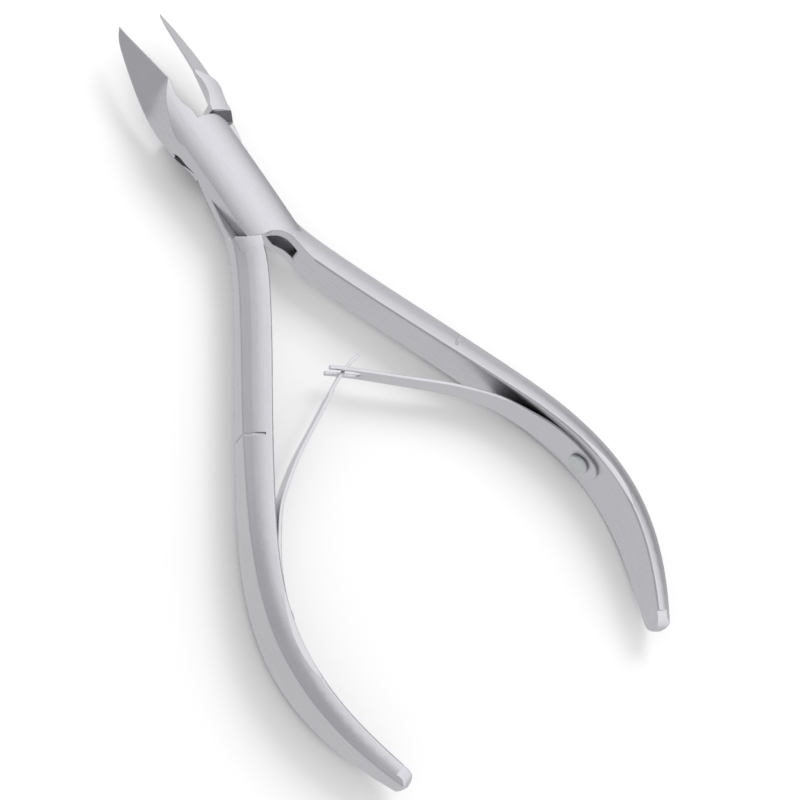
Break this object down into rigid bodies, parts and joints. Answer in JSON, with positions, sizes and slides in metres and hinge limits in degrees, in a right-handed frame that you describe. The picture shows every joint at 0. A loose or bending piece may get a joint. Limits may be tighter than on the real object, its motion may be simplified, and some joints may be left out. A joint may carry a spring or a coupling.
{
  "type": "cuticle nipper",
  "caption": "Hand nipper with two lapped arms on a slotted pivot screw, tapering cutting jaws, bowed handles and interlocking leaf return springs.",
  "frame": {"origin": "the middle of the resting tool's bounding box, on the plane where the two arms lap; the pivot axis runs along Z at x 0, y 24.85 mm", "axes": "+Y toward the jaw tips, +X to the right across the handles, +Z along the pivot axis out of the crowned face without the screw head"},
  "size_m": [0.0548, 0.1011, 0.0072],
  "materials": {
    "arm_steel": "satin brushed stainless steel, ground facets on the jaws",
    "screw_steel": "turned stainless steel, lightly polished head",
    "spring_steel": "rolled spring steel, satin with bright edges",
    "rivet_steel": "satin stainless steel, flat head"
  },
  "bodies": {
    "lower": {"lower_arm": "arm_steel", "tongue_spring_rivet": "rivet_steel"},
    "upper": {"upper_arm": "arm_steel", "pivot_screw": "screw_steel", "fork_spring_rivet": "rivet_steel"},
    "fork_leaf": {"fork_leaf_spring": "spring_steel"},
    "tongue_leaf": {"tongue_leaf_spring": "spring_steel"}
  },
  "joints": [
    {"name": "arm_pivot", "type": "hinge", "parent": "lower", "child": "upper", "pos_m": [0, 0.02485, 0], "axis": [0, 0, 1], "range_deg": [-13.3, 2], "stiffness_Nm_per_rad": 0.6, "springref_deg": 171.89},
    {"name": "fork_leaf_flex", "type": "hinge", "parent": "upper", "child": "fork_leaf", "pos_m": [0.0217, -0.02135, 0], "axis": [0, 0, 1], "range_deg": [-7.8, 1.3], "deforming": ["fork_leaf_spring"]},
    {"name": "tongue_leaf_flex", "type": "hinge", "parent": "lower", "child": "tongue_leaf", "pos_m": [-0.0217, -0.02135, 0], "axis": [0, 0, 1], "range_deg": [-1.3, 7.8], "deforming": ["tongue_leaf_spring"]}
  ],
  "couplings": [
    {"joint": "fork_leaf_flex", "follows": "arm_pivot", "ratio": 0.575},
    {"joint": "tongue_leaf_flex", "follows": "arm_pivot", "ratio": -0.575}
  ]
}
